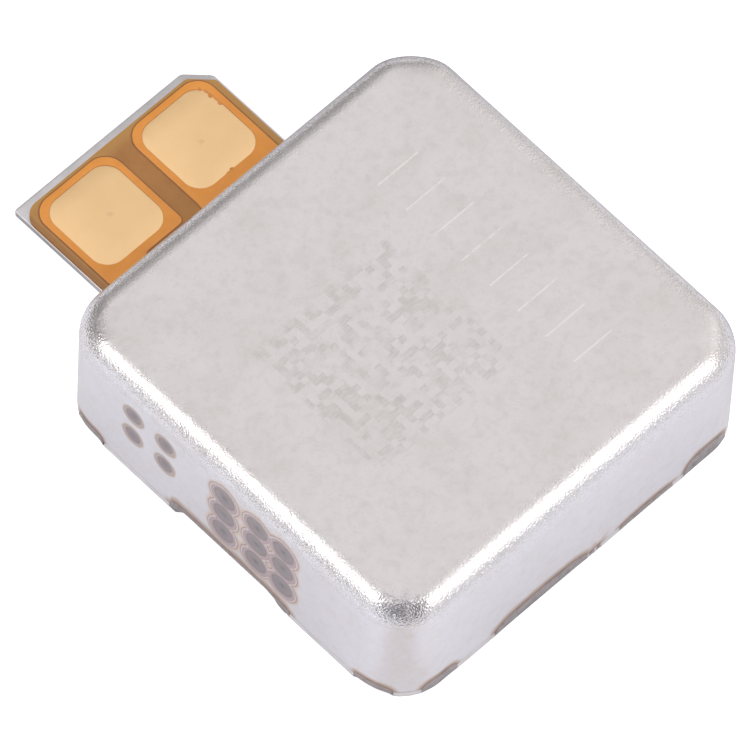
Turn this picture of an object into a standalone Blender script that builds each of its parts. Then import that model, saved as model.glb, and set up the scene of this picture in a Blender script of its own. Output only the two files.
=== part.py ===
"""Square linear vibration motor: a drawn steel can on a base plate, with a flex-circuit tail.

A voice coil is bonded over the flex circuit on the base plate. Above it a tungsten weight with
two magnets and a yoke plate hangs between two folded leaf springs and shakes along X.

Frame: origin at the centre of the can's footprint on the underside of the base plate, +Z up
through the can's flat top, +Y along the flex tail, X along the weight's travel.
The springs and stops on the +X side are those of the -X side turned half a turn about Z.
"""

import math

import bmesh
import bpy
from mathutils import Matrix, Vector

MM = 0.001

# Driving dimensions
CAN_SIDE = 9.0 * MM
HEIGHT = 2.95 * MM
CAN_CORNER_R = 1.06 * MM
CAN_TOP_R = 0.46 * MM
SHEET = 0.2 * MM
PLATE_T = 0.15 * MM
GAP = 0.005 * MM
TRAVEL = 0.4 * MM

# Where the can starts and what it leaves free inside
CAN_BOTTOM = PLATE_T + GAP
INNER_HALF = CAN_SIDE / 2 - SHEET
CEILING = HEIGHT - SHEET

# Base plate: the recess at each end that the seam weld fills, and the tongue under the tail
RECESS_DEPTH = 0.12 * MM
RECESS_NEAR = 1.4 * MM
RECESS_FAR = 1.6 * MM
TAIL_X = -0.06 * MM
TONGUE_HALF = 2.32 * MM
TONGUE_END = 7.76 * MM
TONGUE_CHAMFER = 0.43 * MM
TONGUE_ROOT_R = 0.15 * MM
SLOT_HALF = 2.5 * MM
SLOT_TOP = 0.32 * MM

# Flex circuit: film thicknesses from the plate up, each followed by a gap
BOND_T = 0.015 * MM
BASE_FILM_T = 0.025 * MM
COPPER_T = 0.025 * MM
COVERLAY_T = 0.03 * MM
PAD_T = 0.02 * MM
BOND_Z = PLATE_T + GAP
BASE_FILM_Z = BOND_Z + BOND_T + GAP
COPPER_Z = BASE_FILM_Z + BASE_FILM_T + GAP
COVERLAY_Z = COPPER_Z + COPPER_T + GAP
COVERLAY_TOP = COVERLAY_Z + COVERLAY_T
FLEX_HALF = 2.28 * MM
FLEX_BACK = -3.0 * MM
FLEX_END = 7.6 * MM
FLEX_CHAMFER = 0.4 * MM
FLEX_CORNER_R = 0.12 * MM
FLEX_ROUND_R = 0.35 * MM

# Contact pads and the copper around them
PAD_X = 1.17 * MM
PAD_Y = 6.515 * MM
PAD_SIZE = (1.64 * MM, 1.73 * MM)
PAD_R = 0.38 * MM
WINDOW_MARGIN = 0.01 * MM
COPPER_MARGIN = 0.14 * MM
COPPER_CORNER_R = 0.4 * MM
STEP_Y = 5.46 * MM
STEP_X = -1.3 * MM
SPREAD_Y = 5.26 * MM
SPREAD_X = -0.6 * MM
SLOT_Y = 4.5 * MM
LAND_R = 0.33 * MM
INNER_LAND = (-0.1 * MM, 0.3 * MM)
OUTER_LAND = (1.35 * MM, 3.62 * MM)
TRACE_W = 0.5 * MM

# Voice coil, a flat racetrack whose long sides run along Y
COIL_BOND_T = 0.015 * MM
COIL_H = 0.66 * MM
COIL_OUTER = (4.6 * MM, 5.8 * MM)
COIL_WINDOW = (1.5 * MM, 2.8 * MM)
COIL_OUTER_R = 1.25 * MM
COIL_WINDOW_R = 0.35 * MM
COIL_Z = COVERLAY_TOP + GAP + COIL_BOND_T + GAP
WIRE_R = 0.035 * MM
SOLDER_R = 0.29 * MM
SOLDER_H = 0.17 * MM

# Moving weight
WEIGHT_SIZE = (5.9 * MM, 8.0 * MM, 1.42 * MM)
WEIGHT_Z = 1.08 * MM
WEIGHT_CORNER_R = 0.55 * MM
WEIGHT_EDGE = 0.05 * MM
RELIEF_DEPTH = 0.2 * MM
RELIEF_NEAR = 1.2 * MM
MAGNET_SIZE = (1.5 * MM, 5.1 * MM, 1.4 * MM)
MAGNET_X = 1.35 * MM
MAGNET_EDGE = 0.06 * MM
POCKET_MARGIN = 0.02 * MM
POCKET_R = 0.08 * MM
YOKE_SIZE = (4.8 * MM, 6.0 * MM, 0.15 * MM)
YOKE_R = 0.4 * MM

# Leaf springs, folded to a V beside each end of the weight
SPRING_T = 0.12 * MM
SPRING_LOW = 0.6 * MM
SPRING_HIGH = 2.4 * MM
FOOT_START = 0.55 * MM
FOOT_END = -1.85 * MM
FOLD_Y = -3.63 * MM
FOLD_OUTER_X = -4.1 * MM
FOLD_INNER_X = -3.36 * MM
FOLD_R = 0.34 * MM
EASE_R = 1.5 * MM
TAB_START = 1.3 * MM
TAB_END = 2.95 * MM

# Small blocks at each end
FOOT_PLATE = (0.12 * MM, 2.2 * MM, 1.7 * MM)
TAB_PLATE = (0.15 * MM, 1.4 * MM, 1.3 * MM)
TAB_PLATE_Z = 1.75 * MM
LIMIT_BLOCK = (0.545 * MM, 1.4 * MM, 1.3 * MM)
LIMIT_Y = 2.15 * MM
LIMIT_Z = 1.73 * MM
BUMPER = (0.1 * MM, 1.1 * MM, 1.0 * MM)
FOAM = (0.4 * MM, 0.8 * MM, 1.2 * MM)
FOAM_Y = -2.5 * MM
BLOCK_EDGE = 0.04 * MM
THIN_EDGE = 0.02 * MM

ARC_STEPS = 8  # to a quarter turn, fewer on an arc so small that its chords would get too short
SHORTEST_CHORD = 0.03 * MM
HALF_TURN = Matrix.Rotation(math.pi, 4, "Z")
SIDES = {"left": Matrix.Identity(4), "right": HALF_TURN}

COLOURS = {  # name: (colour, roughness, metallic)
    "nickel_steel": ((0.70, 0.69, 0.68), 0.35, 1.0),
    "spring_steel": ((0.56, 0.55, 0.54), 0.25, 1.0),
    "tungsten": ((0.30, 0.30, 0.32), 0.45, 1.0),
    "magnet_plating": ((0.62, 0.62, 0.60), 0.2, 1.0),
    "gold": ((0.93, 0.72, 0.42), 0.3, 1.0),
    "copper": ((0.80, 0.42, 0.22), 0.35, 1.0),
    "enamel_wire": ((0.62, 0.27, 0.11), 0.3, 0.7),
    "solder": ((0.66, 0.66, 0.67), 0.3, 1.0),
    "polyimide": ((0.60, 0.30, 0.08), 0.4, 0.0),
    "adhesive": ((0.75, 0.70, 0.55), 0.6, 0.0),
    "rubber": ((0.05, 0.05, 0.05), 0.8, 0.0),
    "foam": ((0.16, 0.16, 0.17), 0.95, 0.0),
}


def clear_scene():
    for obj in list(bpy.data.objects):
        bpy.data.objects.remove(obj)


def new_collection(name):
    collection = bpy.data.collections.new(name)
    bpy.context.scene.collection.children.link(collection)
    return collection


def make_material(name):
    colour, roughness, metallic = COLOURS[name]
    material = bpy.data.materials.new(name)
    material.use_nodes = True
    shader = material.node_tree.nodes["Principled BSDF"]
    shader.inputs["Base Color"].default_value = (*colour, 1.0)
    shader.inputs["Roughness"].default_value = roughness
    shader.inputs["Metallic"].default_value = metallic
    return material


def place(name, data, material, matrix=None, parent=None):
    """Adds an object to the motor's collection, and hangs it on its moving parent if it has one."""
    obj = bpy.data.objects.new(name, data)
    data.materials.append(MATERIALS[material])
    MOTOR.objects.link(obj)
    obj.parent = parent
    if parent is not None:
        obj.matrix_parent_inverse = Matrix.Translation(-parent.location)
    obj.matrix_basis = matrix or Matrix.Identity(4)
    return obj


def corner_arc(before, corner, after, radius):
    """Points of the arc of that radius that rounds the corner between two straight lines."""
    corner = Vector(corner)
    towards_before = (Vector(before) - corner).normalized()
    towards_after = (Vector(after) - corner).normalized()
    half_angle = towards_before.angle(towards_after) / 2
    centre = corner + (towards_before + towards_after).normalized() * (radius / math.sin(half_angle))
    reach = radius / math.tan(half_angle)
    start = corner + towards_before * reach - centre
    turn = start.angle_signed(corner + towards_after * reach - centre)
    steps = round(ARC_STEPS * abs(turn) / (math.pi / 2))
    steps = max(1, min(steps, int(radius * abs(turn) / SHORTEST_CHORD)))
    arc = []
    for step in range(steps + 1):
        angle = -turn * step / steps
        rotated = Matrix.Rotation(angle, 2) @ start
        arc.append(tuple(centre + rotated))
    return arc


def rounded(corners, closed=True):
    """A line through (x, y, radius) corners, each rounded by its radius; radius 0 stays sharp."""
    points = []
    for i, (x, y, radius) in enumerate(corners):
        at_end = not closed and i in (0, len(corners) - 1)
        if radius == 0 or at_end:
            points.append((x, y))
            continue
        before = corners[i - 1][:2]
        after = corners[(i + 1) % len(corners)][:2]
        points.extend(corner_arc(before, (x, y), after, radius))
    return points


def rectangle(size, radius, centre=(0, 0)):
    """The outline of a rectangle with rounded corners."""
    x, y = size[0] / 2, size[1] / 2
    corners = [(-x, -y), (x, -y), (x, y), (-x, y)]
    return rounded([(centre[0] + cx, centre[1] + cy, radius) for cx, cy in corners])


def circle(centre, radius):
    steps = 4 * ARC_STEPS
    angles = [2 * math.pi * step / steps for step in range(steps)]
    return [(centre[0] + radius * math.cos(a), centre[1] + radius * math.sin(a)) for a in angles]


def flat_curve(name, lines, half_height, closed):
    curve = bpy.data.curves.new(name, "CURVE")
    curve.dimensions = "2D"
    curve.extrude = half_height
    curve.fill_mode = "BOTH" if closed else "NONE"
    for line in lines:
        spline = curve.splines.new("POLY")
        spline.points.add(len(line) - 1)
        spline.use_cyclic_u = closed
        for point, (x, y) in zip(spline.points, line):
            point.co = (x, y, 0, 1)
    return curve


def plate(name, lines, low, thickness, material, edge=0, parent=None):
    """A flat piece from its outline and the outlines of its holes. edge chamfers its rims."""
    curve = flat_curve(name, lines, thickness / 2 - edge, closed=True)
    if edge:
        curve.bevel_depth = edge
        curve.bevel_resolution = 0
        curve.offset = -edge
    return place(name, curve, material, Matrix.Translation((0, 0, low + thickness / 2)), parent)


def block(name, size, matrix, material, edge, parent=None):
    """A box with bevelled edges, centred where the matrix puts it."""
    bm = bmesh.new()
    bmesh.ops.create_cube(bm, size=1, matrix=Matrix.Diagonal((*size, 1)))
    mesh = bpy.data.meshes.new(name)
    bm.to_mesh(mesh)
    bm.free()
    obj = place(name, mesh, material, matrix, parent)
    bevel = obj.modifiers.new("edges", "BEVEL")
    bevel.width = edge
    bevel.segments = 2
    return obj


def cut(obj, cutter):
    """Takes the cutter out of the object, and hides the cutter among the guides."""
    cutter.hide_render = True
    cutter.display_type = "WIRE"
    boolean = obj.modifiers.new("cut", "BOOLEAN")
    boolean.operation = "DIFFERENCE"
    boolean.object = cutter


def can_housing():
    """A drawn can: rounded walls and top edge, one sheet thick, open below, with the flex slot."""
    bm = bmesh.new()
    wall = HEIGHT - CAN_BOTTOM
    bmesh.ops.create_cube(bm, size=1, matrix=Matrix.Diagonal((CAN_SIDE, CAN_SIDE, wall, 1)))
    uprights = [e for e in bm.edges if abs(e.verts[0].co.z - e.verts[1].co.z) > wall / 2]
    bmesh.ops.bevel(
        bm, geom=uprights, offset=CAN_CORNER_R, segments=ARC_STEPS, profile=0.5, affect="EDGES"
    )
    rim = [e for e in bm.edges if all(v.co.z > 0 for v in e.verts)]
    bmesh.ops.bevel(bm, geom=rim, offset=CAN_TOP_R, segments=5, profile=0.5, affect="EDGES")
    floor = [f for f in bm.faces if f.normal.z < -0.9]
    bmesh.ops.delete(bm, geom=floor, context="FACES")
    mesh = bpy.data.meshes.new("can_housing")
    bm.to_mesh(mesh)
    bm.free()
    mesh.shade_smooth()
    mesh.set_sharp_from_angle(angle=math.radians(30))
    middle = Matrix.Translation((0, 0, CAN_BOTTOM + wall / 2))
    can = place("can_housing", mesh, "nickel_steel", middle)
    sheet = can.modifiers.new("sheet", "SOLIDIFY")
    sheet.thickness = SHEET
    sheet.offset = -1
    sheet.use_even_offset = True

    bm = bmesh.new()
    size = (2 * SLOT_HALF, 4 * SHEET, 2 * SLOT_TOP)
    bmesh.ops.create_cube(bm, size=1, matrix=Matrix.Diagonal((*size, 1)))
    slot_mesh = bpy.data.meshes.new("flex_slot")
    bm.to_mesh(slot_mesh)
    bm.free()
    slot = bpy.data.objects.new("flex_slot", slot_mesh)
    slot.location = (TAIL_X, CAN_SIDE / 2, 0)
    GUIDES.objects.link(slot)
    cut(can, slot)


def base_plate():
    """Flat steel plate with a tongue under the tail. One tongue corner is chamfered as a key."""
    half, edge = CAN_SIDE / 2, CAN_SIDE / 2 - RECESS_DEPTH
    step_r = RECESS_DEPTH / 3
    right = TAIL_X + TONGUE_HALF
    left = TAIL_X - TONGUE_HALF
    corners = [
        (-half, -half, CAN_CORNER_R),
        (half, -half, CAN_CORNER_R),
        (half, -RECESS_NEAR, step_r),
        (edge, -RECESS_NEAR, step_r),
        (edge, RECESS_FAR, step_r),
        (half, RECESS_FAR, step_r),
        (half, half, CAN_CORNER_R),
        (right, half, TONGUE_ROOT_R),
        (right, TONGUE_END - TONGUE_CHAMFER, TONGUE_ROOT_R),
        (right - TONGUE_CHAMFER, TONGUE_END, TONGUE_ROOT_R),
        (left, TONGUE_END, TONGUE_ROOT_R / 3),
        (left, half, TONGUE_ROOT_R),
        (-half, half, CAN_CORNER_R),
        (-half, RECESS_NEAR, step_r),
        (-edge, RECESS_NEAR, step_r),
        (-edge, -RECESS_FAR, step_r),
        (-half, -RECESS_FAR, step_r),
    ]
    plate("base_plate", [rounded(corners)], 0, PLATE_T, "nickel_steel")


def flex_outline(shrink=0.0):
    """The outline of the flex circuit: at the tail's end one corner is cut and one rounded."""
    left, right = TAIL_X - FLEX_HALF + shrink, TAIL_X + FLEX_HALF - shrink
    back, end = FLEX_BACK + shrink, FLEX_END - shrink
    return rounded(
        [
            (left, back, FLEX_CORNER_R),
            (right, back, FLEX_CORNER_R),
            (right, end - FLEX_CHAMFER, FLEX_CORNER_R),
            (right - FLEX_CHAMFER, end, FLEX_CORNER_R),
            (left, end, FLEX_ROUND_R),
        ]
    )


def copper_edges(sign):
    """The sides and the far edge of the copper area under one pad."""
    centre = TAIL_X + sign * PAD_X
    reach = PAD_SIZE[0] / 2 + COPPER_MARGIN
    return centre - reach, centre + reach, PAD_Y + PAD_SIZE[1] / 2 + COPPER_MARGIN


def land_corners(land):
    """The copper's end at a solder land, from its right side round to its left."""
    x, y = land
    half = TRACE_W / 2
    small = half / 2
    return [
        (x + half, y + 3 * half, small),
        (x + half, y - half, small),
        (x - half, y - half, small),
        (x - half, y + 3 * half, small),
    ]


def left_trace():
    """Copper of the left contact. It steps in on its inner side as it enters the can."""
    left, right, far = copper_edges(-1)
    corners = [
        (left, far, COPPER_CORNER_R),
        (right, far, COPPER_CORNER_R),
        (right, STEP_Y, TRACE_W / 4),
        (STEP_X, STEP_Y, TRACE_W / 4),
        (STEP_X, SLOT_Y, TRACE_W / 4),
        *land_corners(INNER_LAND),
        (left, SLOT_Y, TRACE_W / 4),
    ]
    return rounded(corners)


def right_trace():
    """Copper of the right contact. It spreads into the room that the left one leaves."""
    left, right, far = copper_edges(1)
    corners = [
        (left, far, COPPER_CORNER_R),
        (right, far, COPPER_CORNER_R),
        (right, SLOT_Y, TRACE_W / 4),
        *land_corners(OUTER_LAND),
        (SPREAD_X, SLOT_Y, TRACE_W / 4),
        (SPREAD_X, SPREAD_Y - TRACE_W / 2, TRACE_W / 4),
        (left, SPREAD_Y, COPPER_CORNER_R),
    ]
    return rounded(corners)


def window(sign):
    size = [side + 2 * WINDOW_MARGIN for side in PAD_SIZE]
    return rectangle(size, PAD_R + WINDOW_MARGIN, (TAIL_X + sign * PAD_X, PAD_Y))


def flex_circuit():
    """The laminated tail: bond film, polyimide, two copper traces, coverlay and gold pads."""
    plate("flex_bond_film", [flex_outline(0.03 * MM)], BOND_Z, BOND_T, "adhesive")
    plate("flex_base_film", [flex_outline()], BASE_FILM_Z, BASE_FILM_T, "polyimide")
    for side, sign, trace in (("left", -1, left_trace()), ("right", 1, right_trace())):
        plate(f"flex_trace_{side}", [trace], COPPER_Z, COPPER_T, "copper")
        pad = rectangle(PAD_SIZE, PAD_R, (TAIL_X + sign * PAD_X, PAD_Y))
        plate(f"contact_pad_{side}", [pad], COVERLAY_Z, PAD_T, "gold")
    holes = [window(-1), window(1), circle(INNER_LAND, LAND_R), circle(OUTER_LAND, LAND_R)]
    plate("flex_coverlay", [flex_outline(), *holes], COVERLAY_Z, COVERLAY_T, "polyimide")


def voice_coil():
    """The wound racetrack on its bond film. The CAD solid is the winding's outside."""
    rings = [rectangle(COIL_OUTER, COIL_OUTER_R), rectangle(COIL_WINDOW, COIL_WINDOW_R)]
    plate("coil_bond_film", rings, COVERLAY_TOP + GAP, COIL_BOND_T, "adhesive")
    plate("voice_coil", rings, COIL_Z, COIL_H, "enamel_wire", edge=0.05 * MM)


def wire(name, points):
    curve = bpy.data.curves.new(name, "CURVE")
    curve.dimensions = "3D"
    curve.bevel_depth = WIRE_R
    curve.bevel_resolution = 2
    curve.use_fill_caps = True
    spline = curve.splines.new("POLY")
    spline.use_smooth = True
    spline.points.add(len(points) - 1)
    for point, position in zip(spline.points, points):
        point.co = (*position, 1)
    place(name, curve, "enamel_wire")


def lead_points(start, end, steps=8):
    """A wire from the coil that bows up a little and dips to its solder joint."""
    start, end = Vector(start), Vector(end)
    bow = 0.3 * (end - start).length
    points = []
    for step in range(steps + 1):
        share = step / steps
        point = start.lerp(end, share)
        point.z += bow * math.sin(math.pi * share) * (1 - share)
        points.append(point)
    return points


def coil_leads():
    low = COIL_Z + 2 * WIRE_R
    tip = COVERLAY_Z + SOLDER_H - WIRE_R
    inner_side = COIL_WINDOW[0] / 2 - WIRE_R - GAP
    outer_end = COIL_OUTER[1] / 2 + WIRE_R + GAP
    inner_start = (-inner_side, -0.2 * MM, low)
    outer_start = (0.6 * MM, outer_end, low)
    wire("coil_lead_inner", lead_points(inner_start, (*INNER_LAND, tip)))
    wire("coil_lead_outer", lead_points(outer_start, (*OUTER_LAND, tip)))


def solder_joint(name, centre):
    """A flattened dome: the upper half of a squashed sphere."""
    bm = bmesh.new()
    size = Matrix.Diagonal((SOLDER_R, SOLDER_R, SOLDER_H, 1))
    bmesh.ops.create_uvsphere(bm, u_segments=16, v_segments=8, radius=1, matrix=size)
    whole = bm.verts[:] + bm.edges[:] + bm.faces[:]
    sliced = bmesh.ops.bisect_plane(
        bm, geom=whole, dist=1e-9, plane_co=(0, 0, 0), plane_no=(0, 0, -1), clear_outer=True
    )
    rim = [e for e in sliced["geom_cut"] if isinstance(e, bmesh.types.BMEdge)]
    bmesh.ops.edgeloop_fill(bm, edges=rim)
    bmesh.ops.recalc_face_normals(bm, faces=bm.faces[:])
    mesh = bpy.data.meshes.new(name)
    bm.to_mesh(mesh)
    bm.free()
    mesh.shade_smooth()
    mesh.set_sharp_from_angle(angle=math.radians(40))
    place(name, mesh, "solder", Matrix.Translation((*centre, COVERLAY_Z)))


def leaf_spring(side):
    """A strip folded to a V: foot on the can's wall, fold near its corner, tab on the weight."""
    foot_x = -INNER_HALF + GAP + SPRING_T / 2
    tab_x = -WEIGHT_SIZE[0] / 2 - GAP - SPRING_T / 2
    corners = [
        (foot_x, FOOT_START, 0),
        (foot_x, FOOT_END, EASE_R),
        (FOLD_OUTER_X, FOLD_Y, FOLD_R),
        (FOLD_INNER_X, FOLD_Y, FOLD_R),
        (tab_x, TAB_START, EASE_R),
        (tab_x, TAB_END, 0),
    ]
    line = rounded(corners, closed=False)
    name = f"leaf_spring_{side}"
    curve = flat_curve(name, [line], (SPRING_HIGH - SPRING_LOW) / 2, closed=False)
    middle = Matrix.Translation((0, 0, (SPRING_HIGH + SPRING_LOW) / 2))
    obj = place(name, curve, "spring_steel", SIDES[side] @ middle)
    strip = obj.modifiers.new("strip", "SOLIDIFY")
    strip.thickness = SPRING_T
    strip.offset = 0
    strip.use_even_offset = True


def end_pieces(side, mover):
    """What holds, stops and damps one end: weld plates, limit block, its bumper and the foam."""
    turn = SIDES[side]
    wall_x = -INNER_HALF + GAP
    spring_z = (SPRING_HIGH + SPRING_LOW) / 2

    foot_x = wall_x + SPRING_T + GAP + FOOT_PLATE[0] / 2
    foot_y = (FOOT_START + FOOT_END) / 2
    foot = turn @ Matrix.Translation((foot_x, foot_y, spring_z))
    block(f"spring_foot_plate_{side}", FOOT_PLATE, foot, "nickel_steel", THIN_EDGE)

    tab_x = -WEIGHT_SIZE[0] / 2 - SPRING_T - 2 * GAP - TAB_PLATE[0] / 2
    tab = turn @ Matrix.Translation((tab_x, LIMIT_Y, TAB_PLATE_Z))
    block(f"spring_tab_plate_{side}", TAB_PLATE, tab, "nickel_steel", THIN_EDGE, mover)

    limit_x = wall_x + LIMIT_BLOCK[0] / 2
    limit = turn @ Matrix.Translation((limit_x, LIMIT_Y, LIMIT_Z))
    block(f"limit_block_{side}", LIMIT_BLOCK, limit, "nickel_steel", BLOCK_EDGE)

    bumper_x = wall_x + LIMIT_BLOCK[0] + GAP + BUMPER[0] / 2
    bumper = turn @ Matrix.Translation((bumper_x, LIMIT_Y, LIMIT_Z))
    block(f"bumper_{side}", BUMPER, bumper, "rubber", THIN_EDGE)

    lean = math.atan2(FOLD_OUTER_X - wall_x - SPRING_T / 2, FOOT_END - FOLD_Y)
    arm_x = wall_x + SPRING_T / 2 + math.tan(lean) * (FOOT_END - FOAM_Y)
    off_arm = SPRING_T / 2 + 2 * GAP + FOAM[0] / 2
    foam = Matrix.Translation((arm_x, FOAM_Y, spring_z)) @ Matrix.Rotation(lean, 4, "Z")
    foam = turn @ foam @ Matrix.Translation((off_arm, 0, 0))
    block(f"damping_foam_{side}", FOAM, foam, "foam", BLOCK_EDGE)


def weight_outline():
    """The weight from above: beyond the spring's tab each end steps in, so the spring can close."""
    x, y = WEIGHT_SIZE[0] / 2, WEIGHT_SIZE[1] / 2
    inner = x - RELIEF_DEPTH
    step_r = RELIEF_DEPTH / 3
    half = [
        (-x, y, WEIGHT_CORNER_R),
        (-x, RELIEF_NEAR, step_r),
        (-inner, RELIEF_NEAR, step_r),
        (-inner, -y, WEIGHT_CORNER_R),
    ]
    return rounded(half + [(-cx, -cy, radius) for cx, cy, radius in half])


def moving_mass(mover):
    """Tungsten weight with a magnet in each of its two pockets, and the yoke plate on top."""
    pocket = [side + 2 * POCKET_MARGIN for side in MAGNET_SIZE[:2]]
    pockets = [rectangle(pocket, POCKET_R, (sign * MAGNET_X, 0)) for sign in (-1, 1)]
    lines = [weight_outline(), *pockets]
    plate("tungsten_weight", lines, WEIGHT_Z, WEIGHT_SIZE[2], "tungsten", WEIGHT_EDGE, mover)
    weight_top = WEIGHT_Z + WEIGHT_SIZE[2]
    for side, sign in (("left", -1), ("right", 1)):
        centre = Matrix.Translation((sign * MAGNET_X, 0, weight_top - MAGNET_SIZE[2] / 2))
        block(f"magnet_{side}", MAGNET_SIZE, centre, "magnet_plating", MAGNET_EDGE, mover)
    yoke = [rectangle(YOKE_SIZE[:2], YOKE_R)]
    plate("yoke_plate", yoke, weight_top + GAP, YOKE_SIZE[2], "nickel_steel", 0, mover)


def moving_parent():
    """The empty that carries the moving parts, in the weight's middle on the line of travel."""
    mover = bpy.data.objects.new("moving_mass_axis", None)
    mover.location = (0, 0, WEIGHT_Z + WEIGHT_SIZE[2] / 2)
    mover.empty_display_size = TRAVEL
    MOTOR.objects.link(mover)
    return mover


clear_scene()
MOTOR = new_collection("square_linear_vibration_motor")
GUIDES = new_collection("guides")
MATERIALS = {name: make_material(name) for name in COLOURS}

can_housing()
base_plate()
flex_circuit()
voice_coil()
coil_leads()
solder_joint("solder_joint_inner", INNER_LAND)
solder_joint("solder_joint_outer", OUTER_LAND)
MOVER = moving_parent()
moving_mass(MOVER)
for SIDE in SIDES:
    leaf_spring(SIDE)
    end_pieces(SIDE, MOVER)
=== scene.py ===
import math

import bmesh
import bpy
import numpy as np
from mathutils import Matrix, Vector


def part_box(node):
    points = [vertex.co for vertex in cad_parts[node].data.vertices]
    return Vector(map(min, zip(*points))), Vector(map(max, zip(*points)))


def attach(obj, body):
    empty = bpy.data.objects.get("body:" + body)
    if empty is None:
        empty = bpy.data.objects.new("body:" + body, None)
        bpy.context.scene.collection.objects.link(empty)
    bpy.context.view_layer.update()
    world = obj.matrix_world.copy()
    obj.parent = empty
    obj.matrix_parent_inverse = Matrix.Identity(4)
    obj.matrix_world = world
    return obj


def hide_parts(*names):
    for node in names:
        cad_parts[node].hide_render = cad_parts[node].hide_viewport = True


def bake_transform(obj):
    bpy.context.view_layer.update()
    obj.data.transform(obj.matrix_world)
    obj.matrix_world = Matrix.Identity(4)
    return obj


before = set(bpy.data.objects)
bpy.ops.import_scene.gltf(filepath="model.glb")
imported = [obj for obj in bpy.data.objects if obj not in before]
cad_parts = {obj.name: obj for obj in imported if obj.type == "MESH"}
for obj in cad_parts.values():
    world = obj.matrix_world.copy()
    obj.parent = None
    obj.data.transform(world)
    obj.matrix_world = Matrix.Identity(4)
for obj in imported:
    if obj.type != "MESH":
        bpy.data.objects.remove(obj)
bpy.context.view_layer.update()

MM = 0.001

# ---------------------------------------- sizes, from the frame

CAN_LOW, CAN_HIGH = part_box("can_housing")
HALF = CAN_HIGH.x
CORNER_R = 1.06 * MM
TOP_R = 0.46 * MM
SHEET = 0.2 * MM
WALL_TOP = CAN_HIGH.z - TOP_R
FLAT_HALF = HALF - CORNER_R
QUARTER = 2 * FLAT_HALF + CORNER_R * math.pi / 2

FILM_LOW, FILM_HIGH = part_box("flex_coverlay")
PADS = {side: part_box(f"contact_pad_{side}") for side in ("left", "right")}
TAIL_X = (FILM_LOW.x + FILM_HIGH.x) / 2
SLOT_HALF = 2.5 * MM
SLOT_TOP = 0.32 * MM


# ---------------------------------------- node helpers


class Shader:
    """A node material under construction. Its places are in millimetres."""

    def __init__(self, name):
        self.material = bpy.data.materials.new(name)
        self.material.use_nodes = True
        self.tree = self.material.node_tree
        self.surface = self.tree.nodes["Principled BSDF"]
        coordinates = self.add("ShaderNodeTexCoord")
        scaled = self.add("ShaderNodeVectorMath", operation="SCALE")
        self.tree.links.new(coordinates.outputs["Object"], scaled.inputs[0])
        scaled.inputs["Scale"].default_value = 1 / MM
        self.place = scaled.outputs[0]

    def add(self, kind, **settings):
        made = self.tree.nodes.new(kind)
        for key, value in settings.items():
            setattr(made, key, value)
        return made

    def put(self, socket, value):
        if isinstance(value, bpy.types.NodeSocket):
            self.tree.links.new(value, socket)
        else:
            socket.default_value = value

    def fill(self, made, *values):
        """Puts values in a node's first sockets."""
        for socket, value in zip(made.inputs, values):
            self.put(socket, value)

    def fill_named(self, made, **values):
        """Puts values in a node's sockets by name, a space written as an underscore."""
        for name, value in values.items():
            self.put(made.inputs[name.replace("_", " ")], value)

    def math(self, operation, a, b=0.0):
        made = self.add("ShaderNodeMath", operation=operation)
        self.fill(made, a, b)
        return made.outputs[0]

    def plus(self, a, b):
        return self.math("ADD", a, b)

    def minus(self, a, b):
        return self.math("SUBTRACT", a, b)

    def times(self, first, *others):
        """The product of two or more values."""
        for other in others:
            first = self.math("MULTIPLY", first, other)
        return first

    def vector(self, operation, a, b=(0.0, 0.0, 0.0)):
        made = self.add("ShaderNodeVectorMath", operation=operation)
        self.fill(made, a, b)
        return made.outputs["Value" if operation in ("LENGTH", "DOT_PRODUCT") else "Vector"]

    def split(self, vector):
        made = self.add("ShaderNodeSeparateXYZ")
        self.fill(made, vector)
        return made.outputs

    def join(self, x, y, z):
        made = self.add("ShaderNodeCombineXYZ")
        self.fill(made, x, y, z)
        return made.outputs[0]

    def noise(self, scale, detail=2.0, roughness=0.5, vector=None, distortion=0.0):
        made = self.add("ShaderNodeTexNoise")
        where = self.place if vector is None else vector
        self.fill_named(
            made, Vector=where, Scale=scale, Detail=detail, Roughness=roughness, Distortion=distortion
        )
        return made.outputs[0]

    def span(self, value, low, high, to_low=0.0, to_high=1.0, smooth=True):
        """value from low..high onto to_low..to_high, clamped."""
        made = self.add("ShaderNodeMapRange", interpolation_type="SMOOTHSTEP" if smooth else "LINEAR")
        self.fill(made, value, low, high, to_low, to_high)
        return made.outputs[0]

    def mix(self, share, a, b):
        """From colour a, where share is 0, to colour b, where it is 1."""
        made = self.add("ShaderNodeMix", data_type="RGBA")
        self.put(made.inputs[0], share)
        self.put(made.inputs[6], rgba(a))
        self.put(made.inputs[7], rgba(b))
        return made.outputs[2]

    def ramp(self, value, stops):
        """stops are (place, colour or grey) in rising order."""
        made = self.add("ShaderNodeValToRGB")
        elements = made.color_ramp.elements
        while len(elements) > 1:
            elements.remove(elements[-1])
        for i, (place, colour) in enumerate(stops):
            element = elements[0] if i == 0 else elements.new(place)
            element.position = place
            element.color = rgba(colour)
        self.put(made.inputs[0], value)
        return made.outputs[0]

    def attribute(self, name):
        return self.add("ShaderNodeAttribute", attribute_name=name).outputs["Fac"]

    def bump(self, height, distance, strength=1.0, normal=None):
        """distance in millimetres is how far a height of 1 stands out."""
        made = self.add("ShaderNodeBump")
        self.fill_named(made, Strength=strength, Distance=distance * MM, Height=height)
        if normal is not None:
            self.put(made.inputs["Normal"], normal)
        return made.outputs[0]

    def finish(self, colour, roughness, metallic=0.0, normal=None, **others):
        self.fill_named(self.surface, Base_Color=colour, Roughness=roughness, Metallic=metallic, **others)
        if normal is not None:
            self.put(self.surface.inputs["Normal"], normal)
        return self.material


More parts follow.
